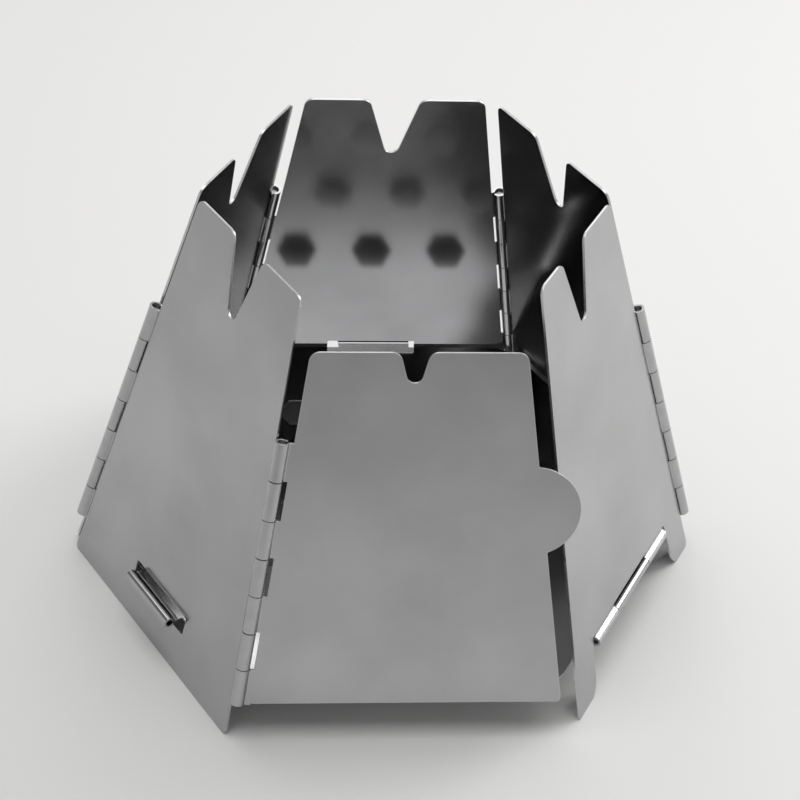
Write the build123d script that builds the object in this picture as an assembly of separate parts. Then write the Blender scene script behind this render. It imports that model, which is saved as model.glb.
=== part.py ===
from build123d import *
import os
from math import asin, atan2, cos, pi, radians, sin, sqrt, tan

# Folding hexagonal wood stove of thin sheet metal, in millimetres, +Z up.
# The origin is on the stove's upright centre line, at the level of the ground it stands on.
# The door is at the front, on the -Y side. Panels are named as seen by someone facing the door.

# Overall form
across_flats_base = 127.0       # between the middles of two opposite panels, on the ground
across_flats_top = 76.2         # the same at the panels' top edges
panel_slant_height = 101.6      # from the ground up along a panel
sheet = 0.5                     # thickness of the panels and the floor

# Panel outlines
hinged_edge_setback = 1.9       # from a hinge axis to the panel's straight edge
door_hinged_edge_setback = 2.4  # the same for the door
door_free_edge_setback = 0.85   # the door's latch edge, from the corner line
frame_free_edge_setback = 6.0   # the right front panel's edge beside the door
door_top = 91.2                 # height of the door's top edge, up the slope
notch_bottom = 81.2             # bottom of the pot notch, up the slope
notch_top_half_width = 5.75     # at the panels' top edges
notch_bottom_radius = 1.7
top_corner_radius = 2.2
foot_corner_radius = 2.0
free_foot_radius = 0.8          # the right front panel's corner beside the door
door_foot_radius = 1.0

# Door latch tab
latch_height = 55.7             # middle of the tab, up the slope
latch_reach = 7.9               # past the door's latch edge
latch_chord = 20.0              # height of the tab where it leaves the edge

# Corner hinges, rolled from the panels
knuckles = 7
knuckle_pitch = 8.95
knuckle_gap = 0.2
hinge_bottom = 9.4              # lower end of the rolls, up the slope
barrel_outer = 3.0
curl_bend = 0.6                 # middle radius of the small bend that leads into a roll
curl_end_angle = 212.0          # where a roll stops short of its own sheet
pin_radial_clearance = 0.05
pin_recess = 0.9                # from a pin's end to the end of its rolls

# Floor plate, its hinge and its two rolled tabs
floor_height = 11.5             # middle of the floor sheet above the ground
floor_wall_clearance = 0.6      # between the floor's edge and a panel
floor_corner_radius = 10.0
floor_barrel_outer = 2.6
floor_knuckle_relief = 0.8      # between a floor roll and the sheet beside it
floor_middle_knuckle = 18.2
floor_end_knuckle = 11.2
floor_hinge_shift = 2.5         # its middle, from the panel's middle towards the next panel
tab_width = 18.0
tab_standoff = 0.35             # between a rolled tab and the panel's outer face
slot_spare_left = 1.3           # beside the tab, seen from outside
slot_spare_right = 2.8          # room for the panel to move sideways as it swings off the tab
slot_above_floor = 2.0          # from the floor sheet up to the slot's top edge
slot_below_roll = 0.8           # from a rolled tab down to the slot's lower edge
slot_corner_radius = 0.5

# Air gap under the right front panel, between its two feet
intake_top_half_width = 21.2
intake_ground_half_width = 23.5
intake_top_radius = 1.5
intake_foot_radius = 5.0

# Vent holes in the floor
vent_across_flats = 9.2
vent_pitch = 19.3
vent_rings = 2                  # rings of holes round the middle one
vent_corner_radius = 0.6

# What follows from these sizes
half_sheet = sheet / 2
apothem_base = across_flats_base / 2
apothem_top = across_flats_top / 2
lean = asin((apothem_base - apothem_top) / panel_slant_height)
corner_base = apothem_base * tan(pi / 6)
corner_top = apothem_top * tan(pi / 6)
taper = atan2(corner_base - corner_top, panel_slant_height)
pin_radius = barrel_outer / 2 - sheet - pin_radial_clearance
floor_pin_radius = floor_barrel_outer / 2 - sheet - pin_radial_clearance
hinge_length = knuckles * knuckle_pitch
floor_hinge_length = floor_middle_knuckle + 2 * floor_end_knuckle
sheet_run = sheet / cos(lean)   # thickness of a leaning sheet, measured level

FRONT, RIGHT_FRONT, RIGHT_BACK = -90.0, -30.0, 30.0
BACK, LEFT_BACK, LEFT_FRONT = 90.0, 150.0, 210.0


def panel_plane(azimuth):
    """Plane of a panel: x to the right seen from outside, y up the slope, z outwards."""
    a = radians(azimuth)
    return Plane(
        origin=(apothem_base * cos(a), apothem_base * sin(a), 0),
        x_dir=(-sin(a), cos(a), 0),
        z_dir=(cos(a) * cos(lean), sin(a) * cos(lean), sin(lean)),
    )


def corner_at(up):
    """Half width from the panel's middle to the corner line, at a height up the slope."""
    return corner_base - up * tan(taper)


def wall_distance(height):
    """Level distance from the centre line to the middle of a panel's sheet."""
    return apothem_base - height * tan(lean)


def rounded_face(corners):
    """Face inside a polygon whose corners are given as (x, y, radius)."""
    count = len(corners)
    arcs = []
    for i, (x, y, radius) in enumerate(corners):
        before = Vector(*corners[i - 1][:2])
        here = Vector(x, y)
        after = Vector(*corners[(i + 1) % count][:2])
        back = (before - here).normalized()
        ahead = (after - here).normalized()
        half_angle = radians(back.get_angle(ahead)) / 2
        cut = radius / tan(half_angle)
        middle_way = (back + ahead).normalized()
        depth = radius / sin(half_angle) - radius
        arcs.append((here + back * cut, here + middle_way * depth, here + ahead * cut))
    edges = []
    for i, (start, middle, end) in enumerate(arcs):
        edges.append(ThreePointArc(start, middle, end))
        next_start = arcs[(i + 1) % count][0]
        if (next_start - end).length > 1e-6:
            edges.append(Line(end, next_start))
    return make_face(Wire(edges))


def plate(face):
    """Sheet of the stove's thickness, centred on the sketch plane."""
    return extrude(face, amount=half_sheet, both=True)


def curl_face(outer, leaf, flip):
    """Section of a sheet edge rolled round an axis at the origin.

    The leaf arrives along -x. The roll starts with a small bend to +y, or to -y when
    flipped, goes right round, and stops short of its own sheet.
    """
    side = -1 if flip else 1
    r_out = outer / 2
    r_in = r_out - sheet
    r_mid = r_out - half_sheet
    span = curl_bend + r_mid
    bend_x = -sqrt(span**2 - curl_bend**2)
    bend_centre = Vector(bend_x, curl_bend)
    towards = Vector(-bend_x, -curl_bend) * (1 / span)
    turn = atan2(towards.Y, towards.X)
    half_turn = (-pi / 2 + turn) / 2
    start = pi + turn
    end = radians(curl_end_angle) - 2 * pi

    def on_bend(radius, angle):
        return bend_centre + Vector(radius * cos(angle), radius * sin(angle))

    def on_roll(radius, angle):
        return Vector(radius * cos(angle), radius * sin(angle))

    def place(point):
        return (point.X, side * point.Y)

    upper = curl_bend - half_sheet
    lower = curl_bend + half_sheet
    middle = (start + end) / 2
    edges = [
        Line(place(Vector(-leaf, half_sheet)), place(Vector(bend_x, half_sheet))),
        ThreePointArc(
            place(Vector(bend_x, half_sheet)),
            place(on_bend(upper, half_turn)),
            place(on_bend(upper, turn)),
        ),
        ThreePointArc(place(on_roll(r_out, start)), place(on_roll(r_out, middle)), place(on_roll(r_out, end))),
        Line(place(on_roll(r_out, end)), place(on_roll(r_in, end))),
        ThreePointArc(place(on_roll(r_in, end)), place(on_roll(r_in, middle)), place(on_roll(r_in, start))),
        ThreePointArc(
            place(on_bend(lower, turn)),
            place(on_bend(lower, half_turn)),
            place(Vector(bend_x, -half_sheet)),
        ),
        Line(place(Vector(bend_x, -half_sheet)), place(Vector(-leaf, -half_sheet))),
        Line(place(Vector(-leaf, -half_sheet)), place(Vector(-leaf, half_sheet))),
    ]
    return make_face(Wire(edges))


def corner_axis_plane(side):
    """Plane square to a panel's hinge axis, at the rolls' lower end; x runs towards the axis."""
    direction = Vector(-side * sin(taper), cos(taper), 0)
    foot = Vector(side * corner_at(hinge_bottom), hinge_bottom, 0)
    return Plane(origin=foot, x_dir=(side * cos(taper), sin(taper), 0), z_dir=direction)


def corner_knuckles(side, places):
    """Rolls along one edge of a panel, in the panel's own plane; places count from the bottom."""
    base = corner_axis_plane(side)
    overlap = 2 * sheet
    section = curl_face(barrel_outer, hinged_edge_setback + overlap, flip=side > 0)
    rolls = []
    for place in places:
        start = place * knuckle_pitch + knuckle_gap / 2
        roll = extrude(section, amount=knuckle_pitch - knuckle_gap)
        rolls.append(base.location * (Pos(0, 0, start) * roll))
    return rolls


def edge_line(side, setback, up):
    """Sideways place of a straight panel edge that keeps a set distance from the corner line."""
    return side * (corner_at(up) - setback / cos(taper))


def panel_outline(top, setbacks, bottom, foot_radii, gap=()):
    """Outline of a panel with its pot notch, seen from outside.

    Setbacks and foot radii are given as (left, right); gap is a cut-out between the feet.
    """
    left_setback, right_setback = setbacks
    notch_rate = notch_top_half_width / (panel_slant_height - notch_bottom + notch_bottom_radius)
    notch_tip = notch_bottom - notch_bottom_radius
    notch_half = notch_rate * (top - notch_tip)
    return rounded_face([
        (edge_line(-1, left_setback, bottom), bottom, foot_radii[0]),
        *gap,
        (edge_line(1, right_setback, bottom), bottom, foot_radii[1]),
        (edge_line(1, right_setback, top), top, top_corner_radius),
        (notch_half, top, top_corner_radius),
        (0, notch_tip, notch_bottom_radius),
        (-notch_half, top, top_corner_radius),
        (edge_line(-1, left_setback, top), top, top_corner_radius),
    ])


def stand_on_ground(panel):
    """Trim a leaning panel's foot level with the ground."""
    below = Pos(0, 0, -across_flats_base / 2) * Box(2 * across_flats_base, 2 * across_flats_base, across_flats_base)
    return panel - below


odd_places = range(0, knuckles, 2)
even_places = range(1, knuckles, 2)
ground_edge = -half_sheet * tan(lean) - sheet


def standing_panel(azimuth, left, right, gap=(), cuts=(), extras=()):
    """A panel that stands on the ground; left and right say which edges carry rolls."""
    setbacks = [hinged_edge_setback if rolled else frame_free_edge_setback for rolled in (left, right)]
    foot_radii = [foot_corner_radius if rolled else free_foot_radius for rolled in (left, right)]
    outline = panel_outline(panel_slant_height, setbacks, ground_edge, foot_radii, gap)
    body = plate(outline)
    for cut in cuts:
        body = body - cut
    pieces = list(extras)
    if left:
        pieces += corner_knuckles(-1, odd_places)
    if right:
        pieces += corner_knuckles(1, even_places)
    for piece in pieces:
        body = body + piece
    return stand_on_ground(panel_plane(azimuth).location * body)


# Heights of the floor's features, up the slope of a panel
floor_axis_up = floor_height / cos(lean)
floor_roll_radius = floor_barrel_outer / 2
slot_top = (floor_height + half_sheet + slot_above_floor) / cos(lean)
slot_bottom = (floor_height - floor_roll_radius - slot_below_roll) / cos(lean)
slot_left = -tab_width / 2 - slot_spare_left
slot_right = tab_width / 2 + slot_spare_right


def tab_slot():
    """Slot that a rolled tab of the floor passes through."""
    return plate(rounded_face([
        (slot_left, slot_bottom, slot_corner_radius),
        (slot_right, slot_bottom, slot_corner_radius),
        (slot_right, slot_top, slot_corner_radius),
        (slot_left, slot_top, slot_corner_radius),
    ]))


def air_intake():
    """Corners of the gap between the right front panel's feet, which also clears the floor's roll."""
    top = floor_axis_up + floor_roll_radius + floor_knuckle_relief
    return [
        (floor_hinge_shift - intake_ground_half_width, ground_edge, intake_foot_radius),
        (floor_hinge_shift - intake_top_half_width, top, intake_top_radius),
        (floor_hinge_shift + intake_top_half_width, top, intake_top_radius),
        (floor_hinge_shift + intake_ground_half_width, ground_edge, intake_foot_radius),
    ]


def panel_floor_knuckles():
    """The two rolls of the right front panel that carry the floor's hinge pin."""
    leaf = floor_roll_radius + floor_knuckle_relief + 2 * sheet
    section = curl_face(floor_barrel_outer, leaf, flip=True)
    rolls = []
    for side in (-1, 1):
        middle = floor_hinge_shift + side * (floor_middle_knuckle + floor_end_knuckle) / 2
        roll = extrude(section, amount=(floor_end_knuckle - knuckle_gap) / 2, both=True)
        place = Plane(origin=(middle, floor_axis_up, 0), x_dir=(0, -1, 0), z_dir=(1, 0, 0))
        rolls.append(place.location * roll)
    return rolls


def floor_edge_roll(azimuth, distance, edge, width, shift=0.0):
    """Roll on the floor plate's edge: a leaf of the floor sheet curled down and round."""
    a = radians(azimuth)
    section = curl_face(floor_barrel_outer, distance - edge + 2 * sheet, flip=False)
    place = Plane(
        origin=(distance * cos(a) - shift * sin(a), distance * sin(a) + shift * cos(a), floor_height),
        x_dir=(cos(a), sin(a), 0),
        z_dir=(-sin(a), cos(a), 0),
    )
    turned = Plane(origin=place.origin, x_dir=place.x_dir, z_dir=-place.z_dir)
    return turned.location * extrude(section, amount=width / 2, both=True)


def hexagon_corners(distances, radius):
    """Corners of a six-sided plate from the distance of each side, in azimuth order."""
    azimuths = [FRONT, RIGHT_FRONT, RIGHT_BACK, BACK, LEFT_BACK, LEFT_FRONT]
    corners = []
    for i, azimuth in enumerate(azimuths):
        a = radians(azimuth)
        b = radians(azimuths[(i + 1) % 6])
        d, e = distances[i], distances[(i + 1) % 6]
        cross = sin(b - a)
        x = (d * sin(b) - e * sin(a)) / cross
        y = (e * cos(a) - d * cos(b)) / cross
        corners.append((x, y, radius))
    return corners


def vent_places():
    """Centres of the vent holes: a honeycomb of rings round the middle."""
    places = []
    for row in range(-vent_rings, vent_rings + 1):
        count = 2 * vent_rings + 1 - abs(row)
        for i in range(count):
            x = (i - (count - 1) / 2) * vent_pitch
            y = row * vent_pitch * cos(pi / 6)
            places.append((x, y))
    return places


def vent_hole():
    """Six-sided hole with flat sides to the front and back."""
    tip = vent_across_flats / 2 / cos(pi / 6)
    return rounded_face([
        (tip * cos(i * pi / 3), tip * sin(i * pi / 3), vent_corner_radius) for i in range(6)
    ])


def make_floor():
    """Floor plate with its vent holes, its hinge roll and two rolled tabs."""
    inner_wall = wall_distance(floor_height) - sheet_run / 2
    free_side = inner_wall - floor_wall_clearance
    hinge_axis = wall_distance(floor_height)
    hinge_side = hinge_axis - floor_roll_radius - floor_knuckle_relief
    sides = [free_side, hinge_side, free_side, free_side, free_side, free_side]
    outline = rounded_face(hexagon_corners(sides, floor_corner_radius))
    for x, y in vent_places():
        outline = outline - Pos(x, y) * vent_hole()
    body = Pos(0, 0, floor_height) * plate(outline)
    roll_foot = floor_height - floor_roll_radius
    outer_wall = wall_distance(roll_foot) + sheet_run / 2
    tab_axis = outer_wall + tab_standoff / cos(lean) + floor_roll_radius
    width = floor_middle_knuckle - knuckle_gap
    body = body + floor_edge_roll(RIGHT_FRONT, hinge_axis, hinge_side, width, floor_hinge_shift)
    for azimuth in (BACK, LEFT_FRONT):
        body = body + floor_edge_roll(azimuth, tab_axis, free_side, tab_width)
    return body


def make_door():
    """Front door: cut lower than the other panels, raised off the ground, with a latch tab."""
    setbacks = (door_hinged_edge_setback, door_free_edge_setback)
    outline = panel_outline(door_top, setbacks, hinge_bottom, (door_foot_radius, door_foot_radius))
    half_chord = latch_chord / 2
    tab_radius = (half_chord**2 + latch_reach**2) / (2 * latch_reach)
    edge = edge_line(1, door_free_edge_setback, latch_height)
    centre = Vector(edge, latch_height) + Vector(cos(taper), sin(taper)) * (latch_reach - tab_radius)
    body = plate(outline) + plate(Pos(centre.X, centre.Y) * Circle(tab_radius))
    for roll in corner_knuckles(-1, odd_places):
        body = body + roll
    return panel_plane(FRONT).location * body


def make_corner_pin(azimuth):
    """Pin inside the rolls at the left edge of the panel that faces this way."""
    length = hinge_length - 2 * pin_recess
    pin = Cylinder(pin_radius, length, align=(Align.CENTER, Align.CENTER, Align.MIN))
    pin = chamfer(pin.edges().filter_by(GeomType.CIRCLE), pin_radius / 4)
    return panel_plane(azimuth).location * (corner_axis_plane(-1).location * (Pos(0, 0, pin_recess) * pin))


def make_floor_pin():
    """Pin of the floor's hinge, along the right front panel."""
    pin = Cylinder(floor_pin_radius, floor_hinge_length - 2 * pin_recess)
    pin = chamfer(pin.edges().filter_by(GeomType.CIRCLE), floor_pin_radius / 4)
    place = Plane(origin=(floor_hinge_shift, floor_axis_up, 0), x_dir=(0, -1, 0), z_dir=(1, 0, 0))
    return panel_plane(RIGHT_FRONT).location * (place.location * pin)


def make_parts():
    """Every piece of the stove by its name."""
    return {
        "front_door_panel": make_door(),
        "right_front_panel": standing_panel(
            RIGHT_FRONT, left=False, right=True, gap=air_intake(), extras=panel_floor_knuckles()
        ),
        "right_back_panel": standing_panel(RIGHT_BACK, left=True, right=True),
        "back_panel": standing_panel(BACK, left=True, right=True, cuts=[tab_slot()]),
        "left_back_panel": standing_panel(LEFT_BACK, left=True, right=True),
        "left_front_panel": standing_panel(LEFT_FRONT, left=True, right=True, cuts=[tab_slot()]),
        "floor_plate": make_floor(),
        "door_hinge_pin": make_corner_pin(FRONT),
        "left_front_hinge_pin": make_corner_pin(LEFT_FRONT),
        "left_back_hinge_pin": make_corner_pin(LEFT_BACK),
        "right_back_hinge_pin": make_corner_pin(BACK),
        "right_front_hinge_pin": make_corner_pin(RIGHT_BACK),
        "floor_hinge_pin": make_floor_pin(),
    }


os.makedirs("parts", exist_ok=True)
for name, solid in make_parts().items():
    export_step(solid, f"parts/{name}.step")
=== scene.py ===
"""Folding wood stove of thin stainless sheet: the visible pieces, their finishes and the studio.

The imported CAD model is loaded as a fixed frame. Each sheet of it gets a visible piece of the same
size and place, with softened cut edges, and every pin keeps its node and gets a drawn-wire finish.
All lengths are in metres, +Z is up, and the door faces -Y.
"""

import logging
import math
from dataclasses import dataclass, field
from enum import Enum

import bpy
from mathutils import Matrix, Vector

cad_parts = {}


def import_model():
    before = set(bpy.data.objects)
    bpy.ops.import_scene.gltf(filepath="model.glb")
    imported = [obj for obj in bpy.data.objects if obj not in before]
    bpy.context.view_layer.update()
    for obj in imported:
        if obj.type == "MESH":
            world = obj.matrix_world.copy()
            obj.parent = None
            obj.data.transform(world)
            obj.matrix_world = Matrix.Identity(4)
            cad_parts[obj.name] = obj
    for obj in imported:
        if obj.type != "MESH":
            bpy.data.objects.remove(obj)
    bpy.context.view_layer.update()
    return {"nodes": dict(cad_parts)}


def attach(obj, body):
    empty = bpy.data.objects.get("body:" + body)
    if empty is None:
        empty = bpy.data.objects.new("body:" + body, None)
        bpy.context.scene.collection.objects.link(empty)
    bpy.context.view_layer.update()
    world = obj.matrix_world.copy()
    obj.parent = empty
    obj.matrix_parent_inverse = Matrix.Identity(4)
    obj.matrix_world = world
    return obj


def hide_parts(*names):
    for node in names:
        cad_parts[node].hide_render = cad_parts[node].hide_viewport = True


log = logging.getLogger("wood_stove")

Triple = tuple[float, float, float]
Line = tuple[Vector, Vector]
Socket = bpy.types.NodeSocket

MERGE_DISTANCE = 0.000002
FLAT_ANGLE = math.radians(0.4)
CORNER_ANGLE = math.radians(50)
FACE_ON = 0.995
END_ON = 0.8
LEVEL = 0.999


class Surface(Enum):
    """The kinds of surface on a sheet piece; the value is the material slot."""

    OUTSIDE = 0
    INSIDE = 1
    CUT_EDGE = 2
    ROLL = 3


@dataclass(frozen=True)
class SheetFinish:
    """One side of stainless sheet: metal with a fine rolling grain, faint smears and slow waves."""

    name: str
    tone: Triple = (0.43, 0.43, 0.434)
    roughness: float = 0.17
    roughness_spread: float = 0.07
    grain_across: float = 9000.0
    grain_along: float = 260.0
    grain_height: float = 0.0000016
    wave_size: float = 26.0
    wave_height: float = 0.00016
    smear_size: float = 34.0
    smear_depth: float = 0.15
    handling_size: float = 64.6
    handling_share: float = 0.55
    anisotropy: float = 0.25

    def material(self, label: str, turn: Matrix) -> bpy.types.Material:
        """Make the finish for one sheet.

        Args:
            label: Ending of the material's name.
            turn: Rotation that brings the sheet's own axes (across, up, out) to X, Y and Z.

        Returns:
            The new material.
        """
        nodes, shader = new_metal(f"{self.name}_{label}", self.roughness)
        shader.inputs["Anisotropic"].default_value = self.anisotropy
        place = nodes.place(turn)
        smears = nodes.noise(place, scale=self.smear_size, detail=5.0, roughness=0.55)
        light = tuple(min(1.0, c * (1 + self.smear_depth / 2)) for c in self.tone)
        dark = tuple(c * (1 - self.smear_depth / 2) for c in self.tone)
        tone = nodes.blend(smears, dark, light, low=0.35, high=0.65)
        nodes.link(tone, shader.inputs["Base Color"])

        stretched = nodes.stretch(place, (self.grain_along, self.grain_across, self.grain_along))
        grain = nodes.noise(stretched, scale=1.0, detail=3.0, roughness=0.6)
        handled = nodes.noise(place, scale=self.handling_size, detail=6.0, roughness=0.6)
        grain_part = nodes.math("MULTIPLY", grain, 1.0 - self.handling_share)
        handled_part = nodes.math("MULTIPLY", handled, self.handling_share)
        mixed = nodes.math("ADD", grain_part, handled_part)
        half = self.roughness_spread / 2
        rough = nodes.map_range(mixed, 0.3, 0.7, self.roughness - half, self.roughness + half)
        nodes.link(rough, shader.inputs["Roughness"])

        waves = nodes.noise(place, scale=self.wave_size, detail=1.0, roughness=0.4)
        rolled = nodes.bump(waves, distance=self.wave_height, strength=0.5)
        fine = nodes.bump(grain, distance=self.grain_height, strength=0.6, after=rolled)
        nodes.link(fine, shader.inputs["Normal"])
        return nodes.owner


@dataclass(frozen=True)
class CutFinish:
    """Sheared edge of the sheet: brighter and rougher, with the fine marks of the shear."""

    name: str
    tone: Triple = (0.7, 0.7, 0.705)
    worn_tone: Triple = (0.56, 0.56, 0.565)
    roughness: float = 0.33
    smoothest: float = 0.26
    roughest: float = 0.42
    mark_size: float = 2600.0
    mark_height: float = 0.00002

    def material(self) -> bpy.types.Material:
        """Make the finish.

        Returns:
            The new material.
        """
        nodes, shader = new_metal(self.name, self.roughness)
        place = nodes.place(Matrix.Identity(3))
        marks = nodes.noise(place, scale=self.mark_size, detail=2.0, roughness=0.5)
        tone = nodes.blend(marks, self.worn_tone, self.tone, low=0.3, high=0.7)
        nodes.link(tone, shader.inputs["Base Color"])
        rough = nodes.map_range(marks, 0.3, 0.7, self.smoothest, self.roughest)
        nodes.link(rough, shader.inputs["Roughness"])
        marked = nodes.bump(marks, distance=self.mark_height, strength=0.5)
        nodes.link(marked, shader.inputs["Normal"])
        return nodes.owner


@dataclass(frozen=True)
class RollFinish:
    """Sheet curled into a hinge roll, or a drawn wire pin, with fine lines along it."""

    name: str
    tone: Triple = (0.47, 0.47, 0.474)
    roughness: float = 0.14
    dull_size: float = 240.0
    dull_tone: float = 0.92
    line_size: float = 3800.0
    line_stretch: float = 140.0
    line_height: float = 0.000006

    def material(self, label: str, turn: Matrix) -> bpy.types.Material:
        """Make the finish for one hinge line.

        Args:
            label: Ending of the material's name.
            turn: Rotation that brings the roll's axis to Y.

        Returns:
            The new material.
        """
        nodes, shader = new_metal(f"{self.name}_{label}", self.roughness)
        place = nodes.place(turn)
        stretched = nodes.stretch(place, (self.line_size, self.line_stretch, self.line_size))
        lines = nodes.noise(stretched, scale=1.0, detail=3.0, roughness=0.55)
        dull = nodes.noise(place, scale=self.dull_size, detail=4.0, roughness=0.6)
        dark = tuple(c * self.dull_tone for c in self.tone)
        tone = nodes.blend(dull, dark, self.tone, low=0.35, high=0.6)
        nodes.link(tone, shader.inputs["Base Color"])
        rough = nodes.map_range(dull, 0.3, 0.7, self.roughness - 0.05, self.roughness + 0.08)
        nodes.link(rough, shader.inputs["Roughness"])
        drawn = nodes.bump(lines, distance=self.line_height, strength=0.6)
        nodes.link(drawn, shader.inputs["Normal"])
        return nodes.owner


class NodeSheet:
    """The node tree of a material or world, with the few steps that all of them are made from."""

    def __init__(self, owner: bpy.types.Material | bpy.types.World) -> None:
        """Empty the node tree of a new material or world.

        Args:
            owner: The material or world.
        """
        owner.use_nodes = True
        self.owner = owner
        self.tree: bpy.types.NodeTree = owner.node_tree
        self.tree.nodes.clear()

    def add(self, kind: str) -> bpy.types.Node:
        """Add a node of this type."""
        return self.tree.nodes.new(kind)

    def link(self, source: Socket, target: Socket) -> None:
        """Join two sockets."""
        self.tree.links.new(source, target)

    def place(self, turn: Matrix) -> Socket:
        """Object coordinates turned into a sheet's own axes.

        Args:
            turn: The rotation, as a 3 by 3 matrix.

        Returns:
            The turned coordinates.
        """
        source = self.add("ShaderNodeTexCoord").outputs["Object"]
        mapping = self.add("ShaderNodeMapping")
        mapping.inputs["Rotation"].default_value = turn.to_euler("XYZ")
        self.link(source, mapping.inputs["Vector"])
        return mapping.outputs["Vector"]

    def stretch(self, place: Socket, scale: Triple) -> Socket:
        """Coordinates scaled differently along each axis.

        Args:
            place: The coordinates.
            scale: One factor per axis.

        Returns:
            The scaled coordinates.
        """
        mapping = self.add("ShaderNodeMapping")
        mapping.inputs["Scale"].default_value = scale
        self.link(place, mapping.inputs["Vector"])
        return mapping.outputs["Vector"]

    def noise(self, place: Socket, scale: float, detail: float, roughness: float) -> Socket:
        """Soft noise over the coordinates.

        Args:
            place: The coordinates.
            scale: Waves per metre.
            detail: Number of finer layers.
            roughness: Strength of the finer layers.

        Returns:
            The noise, 0 to 1.
        """
        node = self.add("ShaderNodeTexNoise")
        node.inputs["Scale"].default_value = scale
        node.inputs["Detail"].default_value = detail
        node.inputs["Roughness"].default_value = roughness
        self.link(place, node.inputs["Vector"])
        return node.outputs["Fac"]

    def math(self, operation: str, first: Socket, second: Socket | float) -> Socket:
        """One step of arithmetic.

        Args:
            operation: Blender's name of the operation.
            first: The first value.
            second: The second value, a socket or a number.

        Returns:
            The result.
        """
        node = self.add("ShaderNodeMath")
        node.operation = operation
        self.link(first, node.inputs[0])
        if isinstance(second, float):
            node.inputs[1].default_value = second
        else:
            self.link(second, node.inputs[1])
        return node.outputs[0]

    def map_range(
        self,
        value: Socket,
        from_low: float,
        from_high: float,
        to_low: float,
        to_high: float,
        smooth: bool = False,
    ) -> Socket:
        """A value carried from one range to another, held at its ends.

        Args:
            value: The value.
            from_low: Where the first range starts.
            from_high: Where it ends.
            to_low: Where the second range starts.
            to_high: Where it ends.
            smooth: Whether the change starts and ends softly.

        Returns:
            The carried value.
        """
        node = self.add("ShaderNodeMapRange")
        node.interpolation_type = "SMOOTHSTEP" if smooth else "LINEAR"
        numbers = {"From Min": from_low, "From Max": from_high, "To Min": to_low, "To Max": to_high}
        for name, number in numbers.items():
            node.inputs[name].default_value = number
        self.link(value, node.inputs["Value"])
        return node.outputs["Result"]

    def blend(
        self, factor: Socket, first: Triple, second: Triple, low: float, high: float
    ) -> Socket:
        """A colour between two colours.

        Args:
            factor: What the colour follows.
            first: The colour where the factor is at low.
            second: The colour where it is at high.
            low: Start of the change.
            high: End of the change.

        Returns:
            The colour.
        """
        ramp = self.add("ShaderNodeValToRGB")
        stops = ramp.color_ramp.elements
        stops[0].position, stops[1].position = low, high
        stops[0].color, stops[1].color = (*first, 1.0), (*second, 1.0)
        self.link(factor, ramp.inputs["Fac"])
        return ramp.outputs["Color"]

    def bump(
        self, height: Socket, distance: float, strength: float, after: Socket | None = None
    ) -> Socket:
        """A surface normal bent by a height.

        Args:
            height: The height, 0 to 1.
            distance: What a height of 1 measures, in metres.
            strength: How much of it is used.
            after: A normal that is bent further.

        Returns:
            The bent normal.
        """
        node = self.add("ShaderNodeBump")
        node.inputs["Distance"].default_value = distance
        node.inputs["Strength"].default_value = strength
        self.link(height, node.inputs["Height"])
        if after is not None:
            self.link(after, node.inputs["Normal"])
        return node.outputs["Normal"]


def new_metal(name: str, roughness: float) -> tuple[NodeSheet, bpy.types.Node]:
    """Start a metal material.

    Args:
        name: The material's name.
        roughness: Its mean roughness.

    Returns:
        Its node sheet and its shader.
    """
    nodes = NodeSheet(bpy.data.materials.new(name))
    shader = nodes.add("ShaderNodeBsdfPrincipled")
    shader.inputs["Metallic"].default_value = 1.0
    shader.inputs["Roughness"].default_value = roughness
    output = nodes.add("ShaderNodeOutputMaterial")
    nodes.link(shader.outputs["BSDF"], output.inputs["Surface"])
    return nodes, shader


@dataclass(frozen=True)
class Form:
    """The stove's main sizes, which say where each panel's plane and each corner line lies."""

    apothem_base: float = 0.0635
    apothem_top: float = 0.0381
    slant: float = 0.1016
    sheet: float = 0.0005
    roll_outer: float = 0.0015
    floor_height: float = 0.0115
    floor_roll_outer: float = 0.0013

    @property
    def lean(self) -> float:
        """How far the panels lean in from upright, in radians."""
        return math.asin((self.apothem_base - self.apothem_top) / self.slant)

    @property
    def height(self) -> float:
        """Height of the panels' top edges."""
        return self.slant * math.cos(self.lean)

    def panel_axes(self, azimuth: float) -> Matrix:
        """A panel's own axes.

        Args:
            azimuth: The way the panel faces, in degrees.

        Returns:
            A matrix with the panel's across, up and out directions as its rows.
        """
        a = math.radians(azimuth)
        across = Vector((-math.sin(a), math.cos(a), 0.0))
        level, rise = math.cos(self.lean), math.sin(self.lean)
        out = Vector((math.cos(a) * level, math.sin(a) * level, rise))
        return Matrix((across, out.cross(across), out))

    def corner_line(self, azimuth: float) -> Line:
        """The line on which two panels meet.

        Args:
            azimuth: The way the corner faces, in degrees.

        Returns:
            Its point on the ground and its direction.
        """
        a = math.radians(azimuth)
        flat = Vector((math.cos(a), math.sin(a), 0.0)) / math.cos(math.pi / 6)
        foot = flat * self.apothem_base
        head = flat * self.apothem_top + Vector((0.0, 0.0, self.height))
        return foot, (head - foot).normalized()


FORM = Form()


def distance_to_line(point: Vector, line: Line) -> float:
    """How far a point is from a line given by a point and a direction."""
    away = point - line[0]
    return (away - line[1] * away.dot(line[1])).length


def clear_selection() -> None:
    """Leave edit mode and deselect everything."""
    if bpy.context.object and bpy.context.object.mode != "OBJECT":
        bpy.ops.object.mode_set(mode="OBJECT")
    bpy.ops.object.select_all(action="DESELECT")


def select_only(piece: bpy.types.Object) -> None:
    """Make one object the active and only selected one."""
    clear_selection()
    piece.select_set(True)
    bpy.context.view_layer.objects.active = piece


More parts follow.
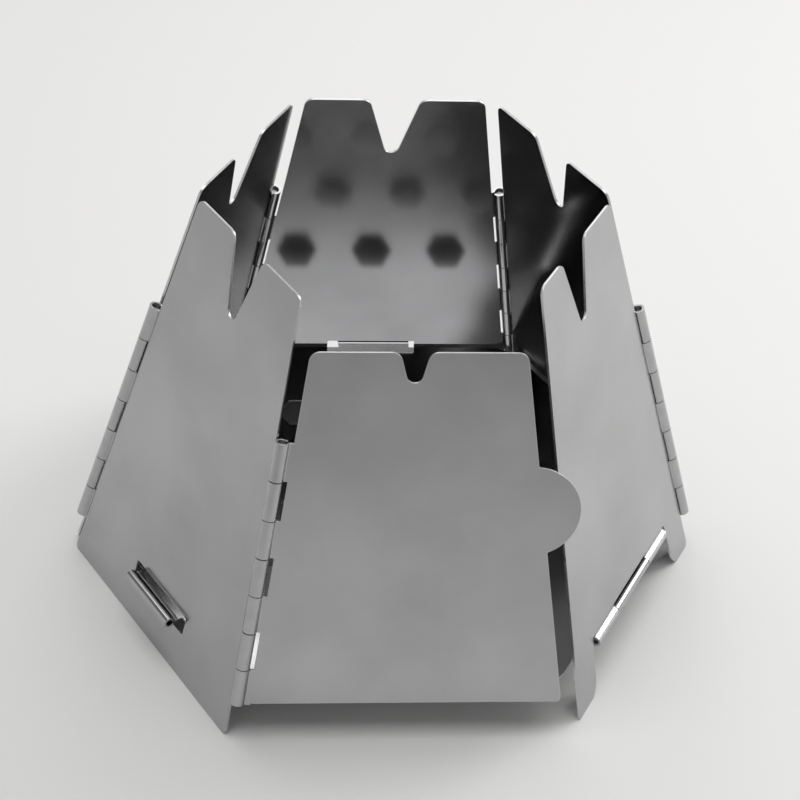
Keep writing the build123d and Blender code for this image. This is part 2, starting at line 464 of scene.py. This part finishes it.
@dataclass
class SheetPiece:
    """A visible piece that stands for one CAD sheet: same shape, with its cut edges softened."""

    node: str
    body: str
    azimuth: float
    corners: tuple[float, ...] = ()
    level: bool = False
    edge_softening: float = 0.00009
    roll_reach: float = 0.0004
    outside: SheetFinish = SheetFinish("satin_side")
    inside: SheetFinish = SheetFinish(
        "bright_side", roughness=0.12, roughness_spread=0.04, anisotropy=0.1
    )
    roll_finish: RollFinish = RollFinish("rolled_edge")

    @property
    def turn(self) -> Matrix:
        """The rotation into this sheet's own axes."""
        return Matrix.Identity(3) if self.level else FORM.panel_axes(self.azimuth)

    def build(self, source: bpy.types.Object) -> bpy.types.Object:
        """Copy the CAD sheet, join its loose triangles and soften its edges.

        Args:
            source: The CAD node's object.

        Returns:
            The visible piece.
        """
        piece = bpy.data.objects.new(f"{self.node}_sheet", source.data.copy())
        bpy.context.scene.collection.objects.link(piece)
        select_only(piece)
        bpy.ops.object.mode_set(mode="EDIT")
        bpy.ops.mesh.select_all(action="SELECT")
        bpy.ops.mesh.remove_doubles(threshold=MERGE_DISTANCE)
        bpy.ops.mesh.dissolve_limited(angle_limit=FLAT_ANGLE)
        bpy.ops.object.mode_set(mode="OBJECT")
        bevel = piece.modifiers.new("soft_edges", "BEVEL")
        bevel.width = self.edge_softening
        bevel.segments = 2
        bevel.limit_method = "ANGLE"
        bevel.angle_limit = CORNER_ANGLE
        bevel.use_clamp_overlap = True
        bpy.ops.object.modifier_apply(modifier="soft_edges")
        bpy.ops.object.shade_smooth()
        shading = piece.modifiers.new("flat_faces", "WEIGHTED_NORMAL")
        shading.mode = "FACE_AREA"
        bpy.ops.object.modifier_apply(modifier="flat_faces")
        return piece

    def roll_lines(self) -> list[tuple[Line, float]]:
        """The axes that this sheet is rolled round, each with its roll's outer radius."""
        return [(FORM.corner_line(corner), FORM.roll_outer) for corner in self.corners]

    def surface_of(self, centre: Vector, normal: Vector) -> Surface:
        """Tell which kind of surface a face belongs to.

        Args:
            centre: The face's middle.
            normal: The way it looks.

        Returns:
            The kind of surface.
        """
        for line, radius in self.roll_lines():
            if distance_to_line(centre, line) < radius + self.roll_reach:
                return Surface.CUT_EDGE if abs(normal.dot(line[1])) > END_ON else Surface.ROLL
        facing = normal.dot(self.turn[2])
        if abs(facing) < FACE_ON:
            return Surface.CUT_EDGE
        return Surface.OUTSIDE if facing > 0 else Surface.INSIDE

    def dress(self, piece: bpy.types.Object, cut: bpy.types.Material) -> None:
        """Give each face its finish.

        Args:
            piece: The visible piece.
            cut: The material of cut edges.
        """
        piece.data.materials.clear()
        piece.data.materials.append(self.outside.material(self.node, self.turn))
        piece.data.materials.append(self.inside.material(self.node, self.turn))
        piece.data.materials.append(cut)
        piece.data.materials.append(self.roll_finish.material(self.node, self.turn))
        for face in piece.data.polygons:
            face.material_index = self.surface_of(face.center, face.normal).value

    def make(
        self, nodes: dict[str, bpy.types.Object], cut: bpy.types.Material, slot: str
    ) -> bpy.types.Object:
        """Build, dress and place the piece.

        Args:
            nodes: The CAD nodes by name.
            cut: The material of cut edges.
            slot: The record's material slot; not used.

        Returns:
            The finished piece.
        """
        piece = self.build(nodes[self.node])
        self.dress(piece, cut)
        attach(piece, self.body)
        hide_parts(self.node)
        log.info("%s: %d faces on body %s", piece.name, len(piece.data.polygons), self.body)
        return piece


@dataclass
class FloorPiece(SheetPiece):
    """The perforated floor plate with its hinge roll and two rolled tabs."""

    roll_azimuths: tuple[float, ...] = (-30.0, 90.0, 210.0)
    tab_reach: float = 0.00225

    def roll_lines(self) -> list[tuple[Line, float]]:
        """The level axes of the floor's three rolls."""
        wall = FORM.apothem_base - FORM.floor_height * math.tan(FORM.lean)
        lines = []
        for azimuth in self.roll_azimuths:
            a = math.radians(azimuth)
            out = Vector((math.cos(a), math.sin(a), 0.0))
            reach = wall if azimuth == self.azimuth else wall + self.tab_reach
            point = out * reach + Vector((0.0, 0.0, FORM.floor_height))
            lines.append(((point, Vector((-out.y, out.x, 0.0))), FORM.floor_roll_outer))
        return lines

    def surface_of(self, centre: Vector, normal: Vector) -> Surface:
        """Tell a roll, a cut edge and the flat plate apart.

        Args:
            centre: The face's middle.
            normal: The way it looks.

        Returns:
            The kind of surface.
        """
        surface = super().surface_of(centre, normal)
        in_plate = abs(centre.z - FORM.floor_height) < FORM.sheet
        if surface is Surface.ROLL and in_plate and abs(normal.z) > LEVEL:
            return Surface.OUTSIDE if normal.z > 0 else Surface.INSIDE
        return surface


@dataclass
class HingePin:
    """A wire pin that keeps its CAD node and gets the drawn-wire finish."""

    node: str
    azimuth: float
    level: bool = False
    finish: RollFinish = field(
        default_factory=lambda: RollFinish("drawn_wire", tone=(0.33, 0.33, 0.335), roughness=0.3)
    )

    @property
    def turn(self) -> Matrix:
        """The rotation that brings the pin's axis to Y."""
        if self.level:
            a = math.radians(self.azimuth)
            along = Vector((-math.sin(a), math.cos(a), 0.0))
        else:
            along = FORM.corner_line(self.azimuth)[1]
        side = along.orthogonal().normalized()
        return Matrix((side, along, side.cross(along)))

    def dress(self, pin: bpy.types.Object) -> None:
        """Give the CAD node its finish."""
        material = self.finish.material(self.node, self.turn)
        for slot in pin.material_slots:
            slot.material = material
        log.info("%s: drawn-wire finish", self.node)


@dataclass
class Stove:
    """The whole stove: seven sheets and six pins."""

    sheets: tuple[SheetPiece, ...] = (
        SheetPiece("front_door_panel", "door", -90.0, corners=(-120.0,)),
        SheetPiece("right_front_panel", "right_front", -30.0, corners=(0.0,)),
        SheetPiece("right_back_panel", "right_back", 30.0, corners=(0.0, 60.0)),
        SheetPiece("back_panel", "back", 90.0, corners=(60.0, 120.0)),
        SheetPiece("left_back_panel", "left_back", 150.0, corners=(120.0, 180.0)),
        SheetPiece("left_front_panel", "left_front", 210.0, corners=(180.0, 240.0)),
    )
    floor: FloorPiece = field(default_factory=lambda: FloorPiece(
        "floor_plate", "floor", -30.0, level=True,
        outside=SheetFinish("floor_top", roughness=0.13, roughness_spread=0.05, anisotropy=0.1),
    ))
    pins: tuple[HingePin, ...] = (
        HingePin("door_hinge_pin", -120.0),
        HingePin("left_front_hinge_pin", 180.0),
        HingePin("left_back_hinge_pin", 120.0),
        HingePin("right_back_hinge_pin", 60.0),
        HingePin("right_front_hinge_pin", 0.0),
        HingePin("floor_hinge_pin", -30.0, level=True),
    )

    def make(self, nodes: dict[str, bpy.types.Object]) -> None:
        """Build every sheet and dress every pin.

        Args:
            nodes: The CAD nodes by name.
        """
        cut = CutFinish("sheared_edge").material()
        for sheet in self.sheets:
            sheet.make(nodes, cut, "panel_sheet")
        self.floor.make(nodes, cut, "floor_sheet")
        for pin in self.pins:
            pin.dress(nodes[pin.node])


@dataclass(frozen=True)
class Lamp:
    """A soft square lamp."""

    name: str
    power: float
    size: float
    place: Triple
    aim: Triple = (0.0, 0.0, 0.05)

    def hang(self) -> None:
        """Hang the lamp in its place, pointed at its aim."""
        data = bpy.data.lights.new(self.name, "AREA")
        data.energy = self.power
        data.size = self.size
        lamp = bpy.data.objects.new(self.name, data)
        bpy.context.scene.collection.objects.link(lamp)
        lamp.location = self.place
        look = Vector(self.aim) - Vector(self.place)
        lamp.rotation_euler = look.to_track_quat("-Z", "Y").to_euler()


@dataclass
class Studio:
    """Pale floor, soft lamps and a plain surround."""

    floor_tone: Triple = (0.84, 0.835, 0.828)
    floor_roughness: float = 0.6
    floor_width: float = 8.0
    floor_drop: float = 0.00005
    backdrop_start: float = 0.7
    backdrop_full: float = 1.5
    horizon_light: float = 0.72
    overhead_light: float = 0.2
    horizon_top: float = 0.12
    overhead_start: float = 0.6
    lamps: tuple[Lamp, ...] = (
        Lamp("key_softbox", 3.05, 0.75, (-0.02, 0.09, 0.65), aim=(-0.02, 0.09, 0.0)),
        Lamp("fill_softbox", 2.1, 0.35, (0.6, 0.3, 0.42)),
        Lamp("back_softbox", 1.2, 0.5, (-0.05, 1.2, 0.55)),
    )

    def floor(self) -> None:
        """Lay the floor; far out it turns into a backdrop as pale as the horizon."""
        clear_selection()
        bpy.ops.mesh.primitive_plane_add(
            size=self.floor_width, location=(0.0, 0.0, -self.floor_drop)
        )
        plane = bpy.context.object
        plane.name = "studio_floor"
        nodes = NodeSheet(bpy.data.materials.new("studio_floor"))
        shader = nodes.add("ShaderNodeBsdfPrincipled")
        shader.inputs["Base Color"].default_value = (*self.floor_tone, 1.0)
        shader.inputs["Roughness"].default_value = self.floor_roughness
        backdrop = nodes.add("ShaderNodeEmission")
        backdrop.inputs["Strength"].default_value = self.horizon_light
        distance = nodes.add("ShaderNodeVectorMath")
        distance.operation = "LENGTH"
        nodes.link(nodes.place(Matrix.Identity(3)), distance.inputs[0])
        far = nodes.map_range(
            distance.outputs["Value"], self.backdrop_start, self.backdrop_full, 0.0, 1.0
        )
        path = nodes.add("ShaderNodeLightPath")
        seen = nodes.math("ADD", path.outputs["Is Camera Ray"], path.outputs["Is Glossy Ray"])
        seen = nodes.math("ADD", seen, path.outputs["Is Transmission Ray"])
        mix = nodes.add("ShaderNodeMixShader")
        nodes.link(nodes.math("MULTIPLY", far, seen), mix.inputs["Fac"])
        nodes.link(shader.outputs["BSDF"], mix.inputs[1])
        nodes.link(backdrop.outputs["Emission"], mix.inputs[2])
        output = nodes.add("ShaderNodeOutputMaterial")
        nodes.link(mix.outputs["Shader"], output.inputs["Surface"])
        plane.data.materials.append(nodes.owner)

    def surroundings(self) -> None:
        """Light the world softly, paler at the horizon than overhead."""
        nodes = NodeSheet(bpy.data.worlds.new("studio_surround"))
        bpy.context.scene.world = nodes.owner
        direction = nodes.add("ShaderNodeTexCoord").outputs["Generated"]
        parts = nodes.add("ShaderNodeSeparateXYZ")
        nodes.link(direction, parts.inputs["Vector"])
        light = nodes.map_range(
            parts.outputs["Z"],
            self.horizon_top,
            self.overhead_start,
            self.horizon_light,
            self.overhead_light,
            smooth=True,
        )
        background = nodes.add("ShaderNodeBackground")
        background.inputs["Color"].default_value = (1.0, 1.0, 1.0, 1.0)
        nodes.link(light, background.inputs["Strength"])
        output = nodes.add("ShaderNodeOutputWorld")
        nodes.link(background.outputs["Background"], output.inputs["Surface"])

    def make(self) -> None:
        """Set up the floor, the surround and the lamps."""
        self.floor()
        self.surroundings()
        for lamp in self.lamps:
            lamp.hang()
        bpy.context.scene.view_settings.view_transform = "Standard"


@dataclass
class Viewpoint:
    """The photograph's camera."""

    azimuth: float = -5.82
    elevation: float = 38.97
    roll: float = 3.81
    distance: float = 0.51172
    target: Triple = (0.00129, -0.00257, 0.045)
    focal_pixels: float = 2280.04
    picture_pixels: int = 800
    sensor: float = 36.0
    nearest: float = 0.01

    def make(self) -> None:
        """Put the camera where the photograph was taken from."""
        a, e, r = (math.radians(v) for v in (self.azimuth, self.elevation, self.roll))
        back = Vector((math.sin(a) * math.cos(e), -math.cos(a) * math.cos(e), math.sin(e)))
        right = (-back).cross(Vector((0.0, 0.0, 1.0))).normalized()
        up = right.cross(-back)
        across = right * math.cos(r) + up * math.sin(r)
        upright = up * math.cos(r) - right * math.sin(r)
        data = bpy.data.cameras.new("photo_camera")
        data.sensor_width = self.sensor
        data.lens = self.focal_pixels * self.sensor / self.picture_pixels
        data.clip_start = self.nearest
        camera = bpy.data.objects.new("photo_camera", data)
        bpy.context.scene.collection.objects.link(camera)
        turn = Matrix((across, upright, back)).transposed().to_4x4()
        camera.matrix_world = Matrix.Translation(Vector(self.target) + back * self.distance) @ turn
        bpy.context.scene.camera = camera


def main() -> None:
    """Load the frame, build the stove, light it and set up the camera."""
    logging.basicConfig(level=logging.INFO, format="%(name)s: %(message)s")
    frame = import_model()
    Stove().make(frame["nodes"])
    Studio().make()
    Viewpoint().make()


if __name__ == "__main__":
    main()
